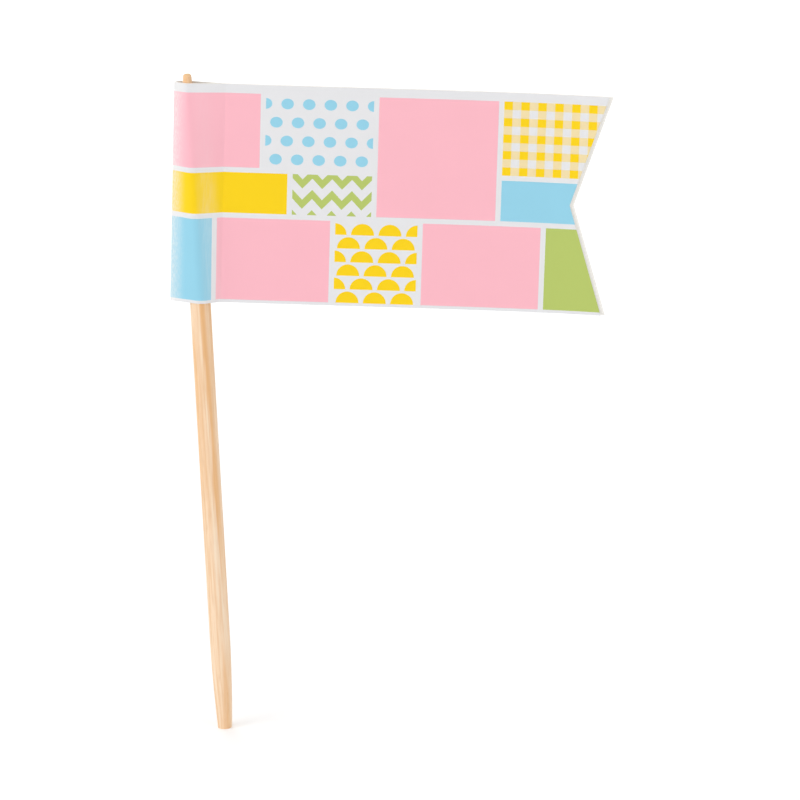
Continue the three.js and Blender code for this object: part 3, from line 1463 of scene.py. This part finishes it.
@dataclass
class PaperFlag:
    """The flag: one strip of coated paper, printed outside and folded in two round the stick."""

    form: FlagForm
    name: str = "paper_flag"
    inside: BarePaper = field(default_factory=BarePaper)

    def lines(self, heights: Sequence[float], outward: float) -> list[list[Point]]:
        """Lay one face of the paper at every height.

        Args:
            heights: The heights of the sections.
            outward: How far outside the inner face.

        Returns:
            For each height, the points from the back leaf's tail to the front leaf's.
        """
        form = self.form
        rows = []
        for w in heights:
            sleeve, tail = form.sleeve(w, outward), form.tail(w)
            back, front = form.to_tail(sleeve, tail + form.overhang), form.to_tail(sleeve, tail)
            rows.append(round_the_fold(back, front))
        return rows

    def build(self) -> bpy.types.Object:
        """Make the flag and dress it.

        Returns:
            The piece.
        """
        heights = self.form.heights(0.0)
        outer, inner = self.lines(heights, self.form.paper), self.lines(heights, 0.0)
        shell = FoldedShell(self.form, heights, (outer, inner), range(len(outer[0])))
        chart = PaperChart(self.form, heights, outer)
        draft = Draft(shell.points())
        for side, corners in shell.faces():
            maps = {
                PRINT_MAP: [chart.printed(corner) for corner in corners],
                BAKE_MAP: [chart.baked(side, corner, corners) for corner in corners],
            }
            finish = 0 if side is Side.OUTER else 1
            draft.add_face([shell.number(corner) for corner in corners], finish, **maps)
        piece = draft.piece(self.name, [PrintedPaper(form=self.form), self.inside])
        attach(piece, ROOT)
        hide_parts("flag")
        return piece


@dataclass
class AdhesiveCoat:
    """The adhesive: a thin coat on the paper's whole inner face, which also grips the stick.

    Its ragged end follows two waves. Each is given in radians: its turn in a millimetre of height,
    and where it starts at the flag's lower edge.
    """

    form: FlagForm
    name: str = "adhesive_coat"
    finish: DriedAdhesive = field(default_factory=DriedAdhesive)
    raggedness: float = 0.16
    quick_waves: tuple[float, float] = (1.9, 0.0)
    slow_waves: tuple[float, float] = (0.7, 2.0)

    def edge(self, w: float) -> float:
        """Give where the coat ends short of the tail, which wavers a little with the height.

        Args:
            w: The height on the flag.

        Returns:
            The end's place from the fold.
        """
        waves = (self.quick_waves, self.slow_waves)
        quick, slow = (math.sin(w * turns + start) for turns, start in waves)
        short = self.form.adhesive_margin + self.raggedness * (1 + quick * slow) / 2
        return self.form.tail(w) - short

    def build(self) -> bpy.types.Object:
        """Make the coat and dress it.

        Returns:
            The piece.
        """
        form = self.form
        leaf = form.leaf_steps
        heights = form.heights(form.adhesive_margin)
        outer, inner = [], []
        for w in heights:
            skin = form.to_tail(form.sleeve(w, -form.bond_clearance), self.edge(w))
            pocket = form.pocket(w)
            core = [*pocket, *((u, 0.0) for u, _ in form.to_tail(pocket, self.edge(w))[-leaf:])]
            outer.append(round_the_fold(skin, skin))
            inner.append(round_the_fold(core, core))
        shell = FoldedShell(form, heights, (outer, inner), range(leaf, len(outer[0]) - 1 - leaf))
        draft = Draft(shell.points())
        for _, corners in shell.faces():
            draft.add_face([shell.number(corner) for corner in corners])
        piece = draft.piece(self.name, [self.finish])
        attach(piece, ROOT)
        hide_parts("adhesive")
        return piece


# The studio.


@dataclass(frozen=True)
class PaleFloor(Finish):
    """The studio's white board. Camera and gloss see it lifted to white, most of all far off."""

    name: str = "pale_floor"
    board: Tint = Tint(246, 246, 246)
    tooth: Pattern = Pattern(0.8, 0.8, 0.8)
    roughness: Span = (0.8, 1.0)
    specular: float = 0.1
    lift: Span = (0.1, 0.45)
    lift_climb: Span = (80.0, 500.0)

    def wire(self, wiring: Wiring) -> None:
        """Wire the white board and its lift, which climbs with the distance from the pick.

        Args:
            wiring: Adds the nodes.
        """
        place = wiring.millimetres()
        away = wiring.signal("VectorMath", {0: place}, "Value", operation="LENGTH")
        wiring.dress({
            "Base Color": self.board,
            "Roughness": wiring.noise(place, self.tooth).span(*self.roughness),
            "Specular IOR Level": self.specular,
            "Emission Color": WHITE,
            "Emission Strength": wiring.seen() * away.climb(*self.lift_climb).span(*self.lift),
        })


@dataclass(frozen=True)
class SoftLamp:
    """A softbox, placed round the pick and aimed at it, by degrees, watts and metres."""

    name: str
    azimuth: float
    elevation: float
    power: float
    width: float = 0.45
    height: float = 0.45
    distance: float = 0.7


@dataclass
class Studio:
    """A pale foam board that the pick is pushed into, soft light from all round, and the camera.

    The camera's sensor is in millimetres, as Blender takes it.
    """

    board_top: float = 0.004
    azimuth: float = 2.8
    elevation: float = 16.0
    roll: float = -2.7
    distance: float = 0.48
    field_width: float = 0.0775
    sensor: float = 36.0
    clip: Span = (0.01, 10.0)
    floor_side: float = 3.0
    world_light: float = 0.625
    lamps: tuple[SoftLamp, ...] = (
        SoftLamp("left_softbox", -62.0, 25.0, 1.5),
        SoftLamp("right_strip", 50.0, 20.0, 0.57, width=0.1, height=0.6),
        SoftLamp("overhead_softbox", -10.0, 75.0, 0.85),
        SoftLamp("back_softbox", -160.0, 30.0, 1.2),
    )

    def place(
        self,
        data: bpy.types.ID,
        azimuth: float,
        elevation: float,
        distance: float,
        roll: float = 0.0,
    ) -> bpy.types.Object:
        """Place a lamp or the camera, aimed at the middle of what stands out of the board.

        Args:
            data: The lamp or camera.
            azimuth: Degrees round from -Y towards +X.
            elevation: Degrees above the horizon.
            distance: Metres from what it is aimed at.
            roll: Degrees that it is turned about its line of sight.

        Returns:
            The new object.
        """
        low, high = CAD_BOX
        target = Vector(((low.x + high.x) / 2, 0.0, (self.board_top + high.z) / 2))
        a, e = math.radians(azimuth), math.radians(elevation)
        away = Vector((math.sin(a) * math.cos(e), -math.cos(a) * math.cos(e), math.sin(e)))
        level = (-away).to_track_quat("-Z", "Y").to_matrix()
        placed = bpy.data.objects.new(data.name, data)
        placed.location = target + away * distance
        placed.rotation_euler = (level @ Matrix.Rotation(math.radians(roll), 3, "Z")).to_euler()
        bpy.context.scene.collection.objects.link(placed)
        return placed

    def add_floor(self) -> None:
        """Lay the board, whose top hides the end of the lower point as in the photograph."""
        half, top = self.floor_side / 2 / MM, self.board_top / MM
        corners = ((-half, -half), (half, -half), (half, half), (-half, half))
        draft = Draft([Vector((x, y, top)) for x, y in corners])
        draft.add_face((0, 1, 2, 3))
        draft.piece("floor", [PaleFloor()])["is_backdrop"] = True

    def add_lamps(self) -> None:
        """Hang the softboxes."""
        for lamp in self.lamps:
            light = bpy.data.lights.new(lamp.name, "AREA")
            light.shape, light.energy = "RECTANGLE", lamp.power
            light.size, light.size_y = lamp.width, lamp.height
            self.place(light, lamp.azimuth, lamp.elevation, lamp.distance)

    def add_world(self) -> None:
        """Light the scene evenly from all round, with plain white behind it."""
        world = bpy.data.worlds.new("white_studio")
        world.use_nodes = True
        wiring = Wiring(world.node_tree)
        strength = wiring.seen().span(self.world_light, 1.0)
        wiring.feed(world.node_tree.nodes["Background"], {"Color": WHITE, "Strength": strength})
        bpy.context.scene.world = world

    def add_camera(self) -> None:
        """Set up the camera at the photograph's viewing angle."""
        data = bpy.data.cameras.new("camera")
        data.sensor_width = self.sensor
        data.lens = self.sensor * self.distance / self.field_width
        data.clip_start, data.clip_end = self.clip
        camera = self.place(data, self.azimuth, self.elevation, self.distance, self.roll)
        bpy.context.scene.camera = camera

    def build(self) -> None:
        """Set the whole studio up."""
        self.add_floor()
        self.add_lamps()
        self.add_world()
        self.add_camera()
        bpy.context.scene.view_settings.view_transform = "Standard"


def write_sizes() -> None:
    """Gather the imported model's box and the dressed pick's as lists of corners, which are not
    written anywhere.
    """
    boxes = {"cad": CAD_BOX, "scene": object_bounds()}
    lists = {name: [list(corner) for corner in box] for name, box in boxes.items()}


def main() -> None:
    """Build the pick and the studio, and report each piece."""
    logging.basicConfig(level=logging.INFO, format="%(message)s")
    stick = StickForm.of_frame()
    flag = FlagForm(stick)
    for part in (Stick(stick), PaperFlag(flag), AdhesiveCoat(flag)):
        piece = part.build()
        log.info("%s: %d faces", piece.name, len(piece.data.polygons))
    Studio().build()
    write_sizes()


if __name__ == "__main__":
    main()
